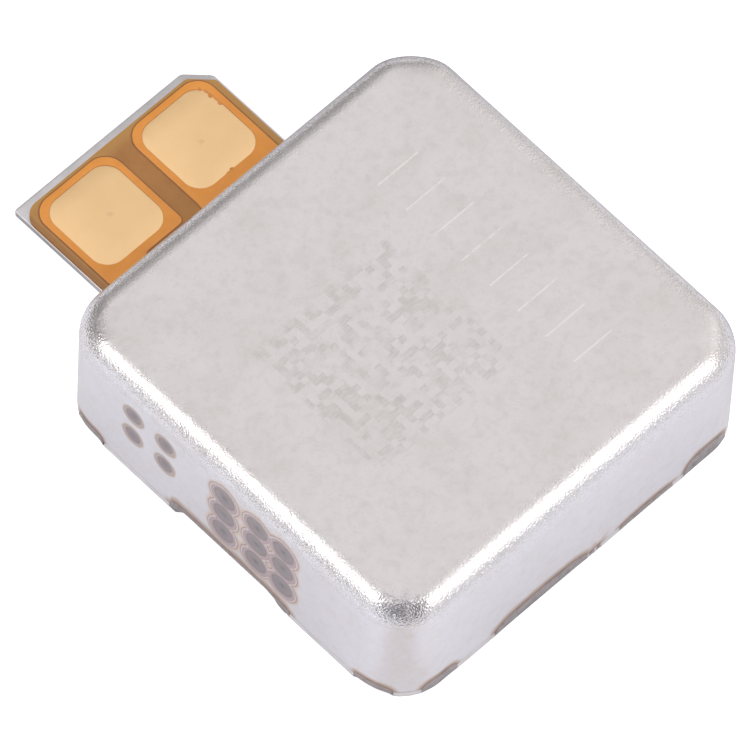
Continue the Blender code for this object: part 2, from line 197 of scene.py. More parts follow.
def rgba(colour):
    """A colour as four numbers. A single number is a grey, and a node's output stays as it is."""
    if isinstance(colour, bpy.types.NodeSocket):
        return colour
    if isinstance(colour, float):
        return (colour, colour, colour, 1.0)
    return (*colour[:3], 1.0)


# ---------------------------------------- mesh helpers


def new_object(name, mesh, body="stator", replaced=(), material=None):
    obj = bpy.data.objects.new(name, mesh)
    bpy.context.scene.collection.objects.link(obj)
    if material is not None:
        mesh.materials.append(material)
    if body is not None:
        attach(obj, body)
    if replaced:
        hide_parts(*replaced)
    return obj


def grid_mesh(name, points, closed_u=False, cap_last=False):
    """A mesh from rows of points. closed_u joins each row's ends; the cap is a flat face."""
    points = np.asarray(points, float)
    rows, cols = points.shape[:2]
    index = np.arange(rows * cols).reshape(rows, cols)
    left, right = (index, np.roll(index, -1, 1)) if closed_u else (index[:, :-1], index[:, 1:])
    quads = np.stack([left[:-1], right[:-1], right[1:], left[1:]], -1).reshape(-1, 4).tolist()
    if cap_last:
        quads.append(index[-1].tolist())
    mesh = bpy.data.meshes.new(name)
    mesh.from_pydata(points.reshape(-1, 3).tolist(), [], quads)
    mesh.shade_smooth()
    return mesh


def write_attribute(mesh, name, values):
    attribute = mesh.attributes.new(name, "FLOAT", "POINT")
    attribute.data.foreach_set("value", np.asarray(values, np.float32).ravel())


# ---------------------------------------- the can

# Half the width of the step at the tail slot's sides, how far the top's corners sag, and how much
# tighter the top's bend is on the +X side
EDGE = 0.0015 * MM
CORNER_SAG = 0.06 * MM
TIGHTER = 0.06 * MM

# Spot welds on the wall over the stop and over the spring's foot: (y, z), in mm
SMALL_SPOTS = [(y, z) for y in (2.43, 1.60) for z in (2.088, 1.387)]
BIG_SPOTS = [(y, z) for y in (0.076, -0.769, -1.446) for z in (2.13, 1.533, 0.904)]

# Seam welds: (run along the can's rim, half length, height above the rim), in mm
SEAMS_X = [(-3.56, 0.38, 0.21), (3.75, 0.41, 0.19)]
SEAMS_Y = [(-3.44, 0.41, 0.24), (-0.91, 1.17, 0.28), (1.75, 0.67, 0.10), (3.27, 0.56, 0.38)]
BACK_WELD = (3.3, 0.5, 0.2)
SEAM_SPECKS = [(0.38, 0.05, 0.035), (0.55, 0.04, 0.05)]

# The long weld in the plate's recess on the +X and -X sides. Its upper and lower edges: (run, height), in mm
RECESS_TOP = [
    (-1.45, 0.18), (-1.39, 0.35), (-1.25, 0.41), (0.4, 0.40),
    (1.0, 0.37), (1.35, 0.33), (1.62, 0.26), (1.70, 0.16),
]
RECESS_LOW = [
    (-1.45, 0.08), (-1.38, 0.02), (-1.29, 0.03), (-1.21, 0.19), (-1.12, 0.27),
    (1.05, 0.26), (1.28, 0.19), (1.40, 0.07), (1.55, 0.03), (1.70, 0.08),
]


def spaced(low, high, step):
    return np.linspace(low, high, max(2, round((high - low) / step) + 1))


def perimeter():
    """Stations round the can's outside: place, outward normal, distance from the -Y side's middle."""
    step, arc_steps = 0.05 * MM, 20
    places, normals, runs = [], [], []
    for side in range(4):
        turn = math.radians(90 * side - 90)
        normal = np.array([math.cos(turn), math.sin(turn)])
        along = np.array([-normal[1], normal[0]])
        flat = spaced(-FLAT_HALF, FLAT_HALF, step)
        if side == 2:
            edges = [-TAIL_X + sign * SLOT_HALF + nudge for sign in (-1, 1) for nudge in (-EDGE, EDGE)]
            flat = np.sort(np.concatenate([flat, edges]))
        for distance in flat:
            places.append(normal * HALF + along * distance)
            normals.append(normal)
            runs.append(side * QUARTER + distance)
        centre = (normal + along) * FLAT_HALF
        for i in range(1, arc_steps):
            angle = math.pi / 2 * i / arc_steps
            direction = normal * math.cos(angle) + along * math.sin(angle)
            places.append(centre + direction * CORNER_R)
            normals.append(direction)
            runs.append(side * QUARTER + FLAT_HALF + CORNER_R * angle)
    return np.array(places), np.array(normals), np.array(runs)


def seam_list():
    """Every seam weld. The +X side repeats the -X side, and the +Y side has one each side of the tail."""
    quarter = QUARTER / MM
    found = [(run, half, height) for run, half, height in SEAMS_Y + SEAM_SPECKS]
    found += [(quarter + run, half, height) for run, half, height in SEAMS_X]
    found += [(3 * quarter + run, half, height) for run, half, height in SEAMS_X]
    found += [(2 * quarter + sign * BACK_WELD[0], *BACK_WELD[1:]) for sign in (-1, 1)]
    return found


def run_gap(runs, centre):
    """Signed distance along the rim from a run, the short way round, in mm."""
    whole = 4 * QUARTER / MM
    return (runs / MM - centre + whole / 2) % whole - whole / 2


def on_x_side(centre):
    """True for a seam weld on the +X or -X side."""
    return abs(centre * MM % (2 * QUARTER) - QUARTER) < QUARTER / 2


def spot_distance(along, heights, spots):
    found = np.full(np.broadcast(along, heights).shape, 9.0)
    for y, z in spots:
        found = np.minimum(found, np.hypot(along - y, heights - z))
    return found


def spot_between(along, heights, spots):
    """The distances to the two nearest spots, added up."""
    gaps = np.sort([np.hypot(along - y, heights - z) + 0 * heights for y, z in spots], axis=0)
    return gaps[0] + gaps[1]


def ring(distance, radius, width):
    return np.exp(-(((distance - radius) / width) ** 2))


# How strongly drawing has roughened the sheet: (height, share) up the wall and (inset, share) on the top
BEND_BY_HEIGHT = [(WALL_TOP / MM - 0.25, 0.0), (WALL_TOP / MM, 0.35), (WALL_TOP / MM + 0.08, 1.0)]
BEND_BY_INSET = [(0.12, 1.3), (0.25, 0.8), (TOP_R / MM, 0.45), (TOP_R / MM + 0.2, 0.0)]


def can_shell():
    places, normals, runs = perimeter()
    on_back = (normals[:, 1] > 0.999) & (np.abs(places[:, 0] - TAIL_X) < SLOT_HALF)
    rim = np.where(on_back, SLOT_TOP, CAN_LOW.z)
    for centre in (QUARTER / MM, 3 * QUARTER / MM):
        melted = np.interp(run_gap(runs, centre), *zip(*RECESS_LOW), left=0, right=0) * MM
        rim = np.maximum(rim, melted + 0.01 * MM * (melted > CAN_LOW.z))
    blend_top = 0.6 * MM
    rows = []
    for share in np.linspace(0, 1, 10)[:-1]:
        rows.append((rim + share * (blend_top - rim), 0.0))
    for z in spaced(blend_top, WALL_TOP, 0.05 * MM):
        rows.append((np.full(len(runs), z), 0.0))
    radius = TOP_R - TIGHTER * np.clip(normals[:, 0], 0, 1) ** 6
    steps = 14
    for i in range(1, steps + 1):
        angle = math.pi / 2 * i / steps
        rows.append((CAN_HIGH.z - radius * (1 - math.sin(angle)), radius * (1 - math.cos(angle))))
    for inset in (0.03, 0.08, 0.14, 0.22, 0.30):
        rows.append((np.full(len(runs), CAN_HIGH.z), radius + inset * MM))

    heights = np.array([z for z, _ in rows])
    insets = np.array([inset + 0 * runs for _, inset in rows])
    climb = np.clip((heights - WALL_TOP) / (0.5 * TOP_R), 0, 1)
    flatness = np.clip((radius + 0.30 * MM - insets) / (0.53 * MM), 0, 1)
    round_corner = (2 * normals[:, 0] * normals[:, 1]) ** 2
    heights = heights - CORNER_SAG * climb * flatness**2 * round_corner[None]
    flat = places[None] - insets[:, :, None] * normals[None]
    on_x = np.abs(normals[:, 0]) > 0.999
    along = np.where(on_x, -normals[:, 0] * places[:, 1] / MM, 99.0)[None]
    small = spot_distance(along, heights / MM, SMALL_SPOTS)
    big = spot_distance(along, heights / MM, BIG_SPOTS)
    # Each spot is a shallow crater with a raised lip, and a big one has a pit in its middle
    relief = 0.006 * ring(small, 0.25, 0.04) - 0.010 * np.clip(1 - small / 0.22, 0, 1) ** 0.5
    relief += 0.009 * ring(big, 0.34, 0.04) - 0.012 * np.clip(1 - big / 0.30, 0, 1) ** 0.5
    relief -= 0.02 * ring(big, 0.0, 0.035)
    relief = np.where(heights > WALL_TOP, 0, relief)
    flat = flat + relief[:, :, None] * MM * normals[None]
    points = np.concatenate([flat, heights[:, :, None]], -1)
    mesh = grid_mesh("can_shell", points, closed_u=True, cap_last=True)

    seam = np.full(heights.shape, 9.0)
    for centre, half, height in seam_list():
        along_rim, above = run_gap(runs, centre)[None], (heights - CAN_LOW.z) / MM
        outside = np.abs(along_rim / half) ** 3 + (above / height) ** 2 - 1
        steepness = np.hypot(3 * along_rim**2 / half**3, 2 * above / height**2)
        tightness = 1.5 if half > 1 else 2.2
        seam = np.minimum(seam, tightness * outside / np.maximum(steepness, 1e-3))
    for centre in (QUARTER / MM, 3 * QUARTER / MM):
        along_rim = run_gap(runs, centre)[None]
        beyond = np.maximum(np.abs(along_rim - 0.13) - 1.55, 0)
        above = np.maximum(heights / MM - np.interp(along_rim, *zip(*RECESS_TOP)), -0.05)
        seam = np.minimum(seam, np.where(beyond > 0, np.hypot(beyond, np.maximum(above, 0)), above))
    bend = np.interp(heights / MM, *zip(*BEND_BY_HEIGHT))
    bend = bend * np.interp(insets / MM, *zip(*BEND_BY_INSET))
    between = spot_between(along, heights / MM, BIG_SPOTS)
    attributes = {"spot_small": small, "spot_big": big, "spot_between": between, "seam": seam, "bend": bend}
    for name, values in attributes.items():
        write_attribute(mesh, name, values)
    can = new_object(
        "can_shell", mesh, replaced=["can_housing"], material=can_material()
    )
    sheet = can.modifiers.new("sheet", "SOLIDIFY")
    sheet.thickness = SHEET
    sheet.offset = -1
    sheet.use_even_offset = True


# How a bead curls in below its lower edge: (inward, below)
BEAD_CURL = [(0.022, 0.035), (0.065, 0.13), (0.118, 0.25)]


def weld_bead(name, start, run, top, low, curl, material):
    """A bead of melted steel along the rim from its upper and lower edge, curling in below the lower one."""
    places, normals, runs = perimeter()
    order = np.argsort(runs)
    at = (start + run) * MM % (4 * QUARTER)
    columns = np.hstack([places, normals])[order].T
    x, y, nx, ny = (np.interp(at, runs[order], column, period=4 * QUARTER) for column in columns)
    swell = np.minimum(0.022, 0.1 * (top - low)) + 0.003 * np.sin(run * 61 + 1)
    back = -0.035 - 0.115 * np.clip(curl * 1.6, 0, 1)
    section = [(-0.03 + 0 * run, top - 0.02, 1.0)]
    for share in np.linspace(0, 1, 8):
        out = swell * math.sin(math.pi * share) ** 0.6 if 0 < share < 1 else 0 * run
        section.append((out, top + (low - top) * share, 1 - share))
    section += [(-inward * curl, low - below * curl, 0.0) for inward, below in BEAD_CURL]
    section += [(back, low - 0.25 * curl, 0.0), (back, np.minimum(top - 0.02, 0.3), 0.0)]
    points = [np.stack([x + nx * out * MM, y + ny * out * MM, z * MM], -1) for out, z, _ in section]
    mesh = bead_mesh(name, np.array(points))
    write_attribute(mesh, "edge", np.array([share + 0 * run for _, _, share in section]))
    new_object(name, mesh, material=material)


def weld_lens(share):
    """How full a short weld is at a share from -1 to 1 of its half length."""
    return np.sqrt(np.clip(1 - np.abs(share) ** 3, 0, 1))


def seam_welds(material):
    """The welds that hold the can to the plate: short ones round the rim, long ones in the end recesses."""
    rim = CAN_LOW.z / MM
    for number, (centre, half, height) in enumerate(seam_list(), 1):
        run = np.linspace(-half, half, max(17, round(half / 0.025) | 1)) * 0.995
        lens = weld_lens(run / half)
        top = np.maximum(rim + height * lens + 0.004 * np.sin(run * 40), 0.08)
        low = 0.02 + (0.12 if on_x_side(centre) else 0.02) * lens
        weld_bead(f"seam_weld_{number}", centre, run, top, low, low / 0.27, material)
    for side, quarter in (("right", 1), ("left", 3)):
        run = np.arange(RECESS_TOP[0][0], RECESS_TOP[-1][0], 0.025)
        wave = 0.006 * np.sin(run * 23) + 0.004 * np.sin(run * 61 + 1)
        top = np.interp(run, *zip(*RECESS_TOP)) + wave
        low = np.interp(run, *zip(*RECESS_LOW))
        weld_bead(f"recess_weld_{side}", quarter * QUARTER / MM, run, top, low, low / 0.27, material)


# How far the plate's edge is melted back under a short weld, on the X and on the Y sides, and how far
# its tongue is shifted
MELT_X = 0.075 * MM
MELT_Y = 0.012 * MM
TONGUE_SHIFT = (0.032 * MM, 0.02 * MM)


def plate_sheet():
    """The base plate, its edge melted back a little under each short weld."""
    places, _, runs = perimeter()
    line = top_outlines("base_plate")[0]
    points = []
    for (x0, y0), (x1, y1) in zip(line, line[1:] + line[:1]):
        count = max(1, round(math.hypot(x1 - x0, y1 - y0) / (0.05 * MM)))
        points += [(x0 + (x1 - x0) * k / count, y0 + (y1 - y0) * k / count) for k in range(count)]
    melted = []
    for x, y in points:
        gaps = np.hypot(places[:, 0] - x, places[:, 1] - y)
        near = int(gaps.argmin())
        depth = 0.0
        if gaps[near] < 0.06 * MM:
            for centre, half, _ in seam_list():
                deepest = MELT_X if on_x_side(centre) else MELT_Y
                depth = max(depth, deepest * float(weld_lens(run_gap(runs[near], centre) / half)))
        pull = 1 - depth / math.hypot(x, y) * math.sqrt(2 if min(abs(x), abs(y)) > FLAT_HALF else 1)
        tongue = min(1.0, max(0.0, (y - HALF) / (0.5 * MM)))
        x, y = x + TONGUE_SHIFT[0] * tongue, y + TONGUE_SHIFT[1] * tongue
        melted.append((x * pull, y * pull))
    material = mottled("plate_steel", (0.72, 0.70, 0.72), (0.64, 0.62, 0.63), 0.32, 1.0, 14.0, 0.004)
    low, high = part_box("base_plate")
    mesh = outline_mesh("plate_sheet", [melted], low.z, high.z, 0.012 * MM)
    for face in mesh.polygons:
        face.use_smooth = face.normal.z > -0.999
    new_object("plate_sheet", mesh, replaced=["base_plate"], material=material)


def bead_mesh(name, points):
    """Rows that close on themselves round a bar, with its two ends capped."""
    rows, cols = points.shape[:2]
    index = np.arange(rows * cols).reshape(rows, cols)
    above = np.roll(index, -1, 0)
    quads = np.stack([index[:, :-1], index[:, 1:], above[:, 1:], above[:, :-1]], -1).reshape(-1, 4)
    faces = quads.tolist() + [index[:, 0].tolist(), index[::-1, -1].tolist()]
    mesh = bpy.data.meshes.new(name)
    mesh.from_pydata(points.reshape(-1, 3).tolist(), [], faces)
    mesh.shade_smooth()
    mesh.set_sharp_from_angle(angle=math.radians(50))
    return mesh


# ---------------------------------------- can materials

# The steel's tone on the top and on the walls. The top's warmer tone and the walls' bluish tone are painted
# light: the reflections the steel picks up from the room, not two colours of the metal.
STEEL_TOP_PAINTED_LIGHT = (0.829, 0.795, 0.797)
STEEL_WALL_PAINTED_REFLECTION = (0.710, 0.700, 0.745)

# Colours round the welds: (distance, colour). The halo's distance is a share, the spots' is in mm.
SEAM_HALO = [
    (0.0, (0.30, 0.23, 0.21)),
    (0.10, (0.36, 0.25, 0.20)),
    (0.20, (0.48, 0.36, 0.31)),
    (0.40, (0.54, 0.45, 0.41)),
    (0.70, (0.63, 0.58, 0.57)),
    (1.0, (0.70, 0.68, 0.71)),
]
SMALL_SPOT = [
    (0.0, (0.26, 0.25, 0.275)),
    (0.10, (0.32, 0.29, 0.31)),
    (0.165, (0.36, 0.315, 0.325)),
    (0.195, (0.33, 0.275, 0.275)),
    (0.215, (0.50, 0.44, 0.44)),
    (0.245, (0.50, 0.43, 0.415)),
    (0.267, (0.45, 0.355, 0.31)),
    (0.290, (0.61, 0.54, 0.50)),
    (0.335, (0.69, 0.66, 0.67)),
]
BIG_SPOT = [
    (0.0, (0.09, 0.09, 0.10)),
    (0.028, (0.25, 0.235, 0.245)),
    (0.10, (0.325, 0.30, 0.31)),
    (0.19, (0.35, 0.315, 0.33)),
    (0.245, (0.36, 0.32, 0.33)),
    (0.272, (0.31, 0.265, 0.27)),
    (0.290, (0.45, 0.385, 0.40)),
    (0.337, (0.53, 0.44, 0.46)),
    (0.353, (0.39, 0.285, 0.275)),
    (0.368, (0.65, 0.58, 0.60)),
    (0.392, (0.63, 0.55, 0.56)),
    (0.408, (0.39, 0.275, 0.235)),
    (0.43, (0.62, 0.515, 0.455)),
    (0.50, (0.68, 0.625, 0.60)),
    (0.56, (0.70, 0.67, 0.68)),
]


def can_material():
    s = Shader("can_nickel_steel")
    geometry = s.add("ShaderNodeNewGeometry")
    normal_z = s.split(geometry.outputs["Normal"])[2]
    on_top = s.span(normal_z, 0.55, 0.98)
    bend = s.attribute("bend")

    cloud = s.noise(0.9, 3.0, 0.55)
    blotch = s.noise(3.5, 4.0, 0.6, distortion=0.4)
    speck = s.noise(22.0, 2.0, 0.6)
    # Painted light: faces turned up take the warmer top tone, and the walls take the bluish reflected tone.
    colour = s.mix(on_top, STEEL_WALL_PAINTED_REFLECTION, STEEL_TOP_PAINTED_LIGHT)
    patch = s.noise(8.0, 3.0, 0.6)
    colour = s.mix(s.span(cloud, 0.42, 0.68, 0.0, 0.16), colour, (0.64, 0.585, 0.54))
    colour = s.mix(s.span(blotch, 0.45, 0.72, 0.0, 0.22), colour, (0.61, 0.56, 0.53))
    colour = s.mix(s.span(patch, 0.48, 0.72, 0.0, 0.18), colour, (0.60, 0.55, 0.53))
    colour = s.mix(s.span(speck, 0.58, 0.75, 0.0, 0.22), colour, (0.52, 0.48, 0.47))

    etched = etched_cells(s)
    colour = s.mix(s.times(etched, 0.48), colour, (0.56, 0.525, 0.49))
    strokes = stroke_row(s)
    colour = s.mix(strokes, colour, (0.95, 0.90, 0.88))

    seam = s.attribute("seam")
    wander = s.span(s.noise(5.0, 3.0, 0.6), 0.2, 0.8, -1.0, 1.0, smooth=False)
    spread_out = s.plus(seam, s.times(wander, 0.03))
    halo = s.ramp(s.span(spread_out, -0.02, 0.28, smooth=False), SEAM_HALO)
    colour = s.mix(s.span(spread_out, 0.26, 0.10), colour, halo)
    uneven = s.times(wander, 0.012)
    small = s.plus(s.attribute("spot_small"), s.plus(uneven, 0.012))
    colour = s.mix(s.span(small, 0.34, 0.28), colour, s.ramp(small, SMALL_SPOT))
    tempered = s.span(s.attribute("spot_between"), 1.06, 0.88, 0.0, 0.6)
    colour = s.mix(tempered, colour, (0.66, 0.46, 0.32))
    big = s.plus(s.attribute("spot_big"), s.plus(uneven, 0.020))
    colour = s.mix(s.span(big, 0.52, 0.41), colour, s.ramp(big, BIG_SPOT))

    welded = s.math("MAXIMUM", s.span(small, 0.26, 0.22), s.span(big, 0.38, 0.30))
    roughness = s.span(s.noise(6.0, 3.0), 0.3, 0.7, 0.30, 0.38)
    roughness = s.plus(roughness, s.times(welded, 0.12))
    roughness = s.minus(roughness, s.times(bend, 0.10))

    fine = s.bump(s.noise(30.0, 3.0, 0.6), 0.0018)
    grain = s.noise(26.0, 1.0, 0.5, distortion=0.15)
    grainy = s.bump(grain, 0.0125, bend, fine)
    return s.finish(colour, roughness, 1.0, grainy)


def box_mask(s, low, high, soft=0.01):
    """1 inside the rectangle from low to high in X and Y, in mm."""
    x, y = s.split(s.place)[:2]
    mask = 1.0
    for value, a, b in ((x, low[0], high[0]), (y, low[1], high[1])):
        mask = s.times(mask, s.span(value, a - soft, a + soft), s.span(value, b + soft, b - soft))
    return mask


def etched_cells(s):
    """A faint hatched square of randomly darkened cells on the top. They are random and encode nothing."""
    cell = 0.144
    fray = s.noise(14.0, 2.0, 0.6)
    shift = s.times(s.minus(fray, 0.5), 0.10)
    x, y, z = s.split(s.place)[:3]
    frayed = s.join(s.plus(x, shift), s.plus(y, s.times(shift, 0.6)), 0.0)
    cells = s.vector("FLOOR", s.vector("MULTIPLY", frayed, (1 / cell, 1 / cell, 0.0)))
    random_cell = s.add("ShaderNodeTexWhiteNoise", noise_dimensions="2D")
    s.put(random_cell.inputs["Vector"], cells)
    filled = s.math("GREATER_THAN", random_cell.outputs["Value"], 0.53)
    inside = box_mask(s, (-2.4, -1.75), (1.0, 1.63), 0.05)
    on_top = s.span(z, CAN_HIGH.z / MM - 0.02, CAN_HIGH.z / MM - 0.005)
    worn = s.span(s.noise(2.6, 3.0, 0.6), 0.32, 0.62, 0.15, 1.0)
    hatch = s.noise(1.0, 2.0, 0.5, vector=s.vector("MULTIPLY", s.place, (5.0, 34.0, 1.0)))
    return s.times(filled, inside, on_top, worn, s.span(hatch, 0.36, 0.58, 0.35, 1.0))


def stroke_row(s):
    """Short plain hairlines in a row, as a scribed batch scale would be."""
    y, z = s.split(s.place)[1:3]
    pitch = 0.72
    shifted = s.plus(y, 10 * pitch)
    phase = s.math("FRACT", s.math("DIVIDE", shifted, pitch))
    line = s.math("LESS_THAN", s.math("ABSOLUTE", s.minus(phase, 0.5)), 0.017 / pitch)
    inside = box_mask(s, (1.7, -3.0), (2.7, 2.75))
    on_top = s.span(z, CAN_HIGH.z / MM - 0.02, CAN_HIGH.z / MM - 0.005)
    skipped = s.span(s.noise(9.0, 2.0, 0.6), 0.35, 0.55, 0.25, 0.9)
    return s.times(line, inside, on_top, skipped)


def seam_material():
    s = Shader("seam_weld_steel")
    edge = s.attribute("edge")
    colour = s.ramp(edge, [
        (0.0, (0.25, 0.235, 0.245)),
        (0.3, (0.315, 0.295, 0.30)),
        (0.6, (0.36, 0.335, 0.34)),
        (0.84, (0.385, 0.35, 0.35)),
        (0.92, (0.31, 0.24, 0.22)),
        (0.98, (0.42, 0.31, 0.25)),
    ])
    stain = s.noise(7.0, 3.0, 0.6)
    colour = s.mix(s.span(stain, 0.5, 0.75, 0.0, 0.35), colour, (0.18, 0.14, 0.13))
    bumps = s.bump(s.noise(18.0, 3.0, 0.6), 0.010)
    return s.finish(colour, s.span(stain, 0.3, 0.7, 0.3, 0.5), 1.0, bumps)


# ---------------------------------------- tail

BARE_FILM = [(0.0, (0.37, 0.150, 0.034)), (1.0, (0.43, 0.190, 0.045))]
COPPER_FILM = [(0.0, (0.76, 0.285, 0.040)), (1.0, (0.82, 0.32, 0.050))]
# A darker film colour for the thin ledge round each trace: painted shade, the shadow line along the traces'
# edges.
SHADE_LINE_FILM = [(0.0, (0.26, 0.10, 0.030)), (1.0, (0.34, 0.14, 0.038))]
PAD_R = 0.38 * MM

# Where a test probe touched each pad, from its middle, in mm
PROBE_OFF = {"left": (0.08, -0.02), "right": (0.0, -0.06)}

# Beads of glue on the right pad: place as shares of the pad's width and length, half width in mm,
# and how much longer than wide
GLUE_BEADS = [
    (0.955, 0.94, 0.045, 1.2),
    (0.985, 0.875, 0.030, 2.4),
    (0.985, 0.80, 0.050, 1.1),
    (1.0, 0.73, 0.028, 3.2),
    (0.995, 0.665, 0.040, 1.2),
    (0.50, 0.0, 0.050, 0.7),
    (0.44, -0.005, 0.040, 0.5),
]


def outline_mesh(name, lines, low, high, edge, grow=0.0):
    """A flat piece between two heights from closed outlines, its rims rounded by edge."""
    curve = bpy.data.curves.new(name, "CURVE")
    curve.dimensions = "2D"
    curve.fill_mode = "BOTH"
    curve.extrude = (high - low) / 2 - edge
    curve.bevel_depth = edge
    curve.bevel_resolution = 2
    curve.offset = grow - edge
    for line in lines:
        spline = curve.splines.new("POLY")
        spline.points.add(len(line) - 1)
        spline.use_cyclic_u = True
        for point, (x, y) in zip(spline.points, line):
            point.co = (x, y, 0, 1)
    holder = bpy.data.objects.new(name, curve)
    bpy.context.scene.collection.objects.link(holder)
    evaluated = holder.evaluated_get(bpy.context.evaluated_depsgraph_get())
    mesh = bpy.data.meshes.new_from_object(evaluated)
    bpy.data.objects.remove(holder)
    bpy.data.curves.remove(curve)
    mesh.materials.clear()
    mesh.name = name
    mesh.transform(Matrix.Translation((0, 0, (low + high) / 2)))
    bm = bmesh.new()
    bm.from_mesh(mesh)
    bmesh.ops.remove_doubles(bm, verts=bm.verts, dist=0.0002 * MM)
    bm.to_mesh(mesh)
    bm.free()
    mesh.shade_smooth()
    mesh.set_sharp_from_angle(angle=math.radians(40))
    return mesh


def rounded(corners, closed=True, step=0.04 * MM):
    """A line through (x, y, radius) corners, each rounded by its radius."""
    points = []
    count = len(corners)
    for i, (x, y, radius) in enumerate(corners):
        if radius == 0 or (not closed and i in (0, count - 1)):
            points.append((x, y))
            continue
        corner = Vector((x, y))
        back = (Vector(corners[i - 1][:2]) - corner).normalized()
        ahead = (Vector(corners[(i + 1) % count][:2]) - corner).normalized()
        half_angle = back.angle(ahead) / 2
        middle = corner + (back + ahead).normalized() * (radius / math.sin(half_angle))
        reach = radius / math.tan(half_angle)
        start = corner + back * reach - middle
        turn = start.angle_signed(corner + ahead * reach - middle)
        steps = max(2, round(radius * abs(turn) / step))
        for k in range(steps + 1):
            place = middle + Matrix.Rotation(-turn * k / steps, 2) @ start
            points.append((place.x, place.y))
    return points


def rectangle(low, high, radius, grow=0.0):
    left, near, right, far = low.x - grow, low.y - grow, high.x + grow, high.y + grow
    corners = ((left, near), (right, near), (right, far), (left, far))
    return rounded([(x, y, radius + grow) for x, y in corners])


def top_outlines(node):
    """The closed outlines of a flat CAD node's top face, its outside first."""
    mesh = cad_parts[node].data
    top = max(v.co.z for v in mesh.vertices)
    spot = [tuple(round(value * 1e7) for value in v.co.xy) for v in mesh.vertices]
    ends = {}
    for polygon in mesh.polygons:
        if all(mesh.vertices[i].co.z > top - 1e-6 for i in polygon.vertices):
            for a, b in polygon.edge_keys:
                edge = tuple(sorted((spot[a], spot[b])))
                ends[edge] = ends.get(edge, 0) + 1
    ahead = {}
    for (a, b), uses in ends.items():
        if uses == 1:
            ahead.setdefault(a, []).append(b)
            ahead.setdefault(b, []).append(a)
    outlines = []
    while ahead:
        start = next(iter(ahead))
        loop, here, before = [start], ahead[start][0], start
        while here != start:
            loop.append(here)
            here, before = next(place for place in ahead[here] if place != before), here
        for place in loop:
            del ahead[place]
        outlines.append([(x / 1e7, y / 1e7) for x, y in loop])
    return sorted(outlines, key=lambda line: -spread(line))


def spread(line):
    return max(x for x, _ in line) - min(x for x, _ in line)


def middle(line):
    return sum(x for x, _ in line) / len(line), sum(y for _, y in line) / len(line)


def encloses(line, point):
    """True where a ray from the point towards +X crosses the closed line an odd number of times."""
    crossings = 0
    for (x0, y0), (x1, y1) in zip(line, line[1:] + line[:1]):
        if (y0 > point[1]) != (y1 > point[1]):
            crossings += x0 + (point[1] - y0) * (x1 - x0) / (y1 - y0) > point[0]
    return crossings % 2 == 1


def joined(name, meshes):
    """One mesh of several, each keeping its material."""
    bm = bmesh.new()
    materials = []
    for mesh in meshes:
        first = len(bm.faces)
        bm.from_mesh(mesh)
        bm.faces.ensure_lookup_table()
        for face in bm.faces[first:]:
            face.material_index = len(materials)
        materials.append(mesh.materials[0])
    result = bpy.data.meshes.new(name)
    bm.to_mesh(result)
    bm.free()
    for material in materials:
        result.materials.append(material)
    return result


def coverlay():
    """The flex's cover film: thin between the traces and raised over them, open over the pads."""
    outside, *holes = top_outlines("flex_coverlay")
    low, high = FILM_LOW.z, FILM_HIGH.z
    step = low + 0.5 * (high - low)
    sheet = outline_mesh("film_sheet", [outside, *holes], low, step, 0.003 * MM)
    sheet.materials.append(film_material("polyimide_bare", BARE_FILM, copper_below=False))
    meshes = [sheet]
    over_copper = film_material("polyimide_over_copper", COPPER_FILM, copper_below=True)
    # The ledge round each trace takes the darker film colour: painted shade along the trace's edge.
    shade_beside_copper = film_material("polyimide_beside_copper", SHADE_LINE_FILM, copper_below=True)
    for side in ("left", "right"):
        trace = top_outlines(f"flex_trace_{side}")[0]
        inside = [hole for hole in holes if encloses(trace, middle(hole))]
        ledge = step + 0.004 * MM
        shoulder = outline_mesh(f"film_shoulder_{side}", [trace], step, ledge, 0.0015 * MM, 0.03 * MM)
        shoulder.materials.append(shade_beside_copper)
        meshes.append(shoulder)
        raised = outline_mesh(f"film_raised_{side}", [trace, *inside], step, high, 0.006 * MM)
        raised.materials.append(over_copper)
        meshes.append(raised)
    film = joined("coverlay_film", meshes)
    new_object("coverlay_film", film, replaced=["flex_coverlay"])


def squeezed_glue():
    """Small beads of film glue pressed out over the outer edge of the right pad."""
    low, high = PADS["right"]
    material = mottled("squeezed_glue", (0.68, 0.27, 0.060), (0.58, 0.22, 0.05), 0.4, 0.0, 20.0, 0.002)
    bm = bmesh.new()
    for across, along, size, stretch in GLUE_BEADS:
        place = Vector()
        place.x = low.x + across * (high.x - low.x)
        place.y = low.y + along * (high.y - low.y)
        place.z = high.z - 0.002 * MM
        bead = bmesh.ops.create_uvsphere(bm, u_segments=20, v_segments=10, radius=1.0)["verts"]
        shape = Matrix.Diagonal((size * MM, stretch * size * MM, 0.014 * MM, 1))
        bmesh.ops.transform(bm, matrix=Matrix.Translation(place) @ shape, verts=bead)
    mesh = bpy.data.meshes.new("squeezed_glue")
    bm.to_mesh(mesh)
    bm.free()
    mesh.shade_smooth()
    new_object("squeezed_glue", mesh, material=material)


def contact_faces():
    """Gold-plated pads with soft edges and the small dent of a test probe."""
    material = gold_material()
    for side, (low, high) in PADS.items():
        line = rectangle(low, high, PAD_R, 0.010 * MM)
        mesh = outline_mesh(f"pad_face_{side}", [line], low.z, high.z, 0.006 * MM)
        new_object(mesh.name, mesh, replaced=[f"contact_pad_{side}"], material=material)


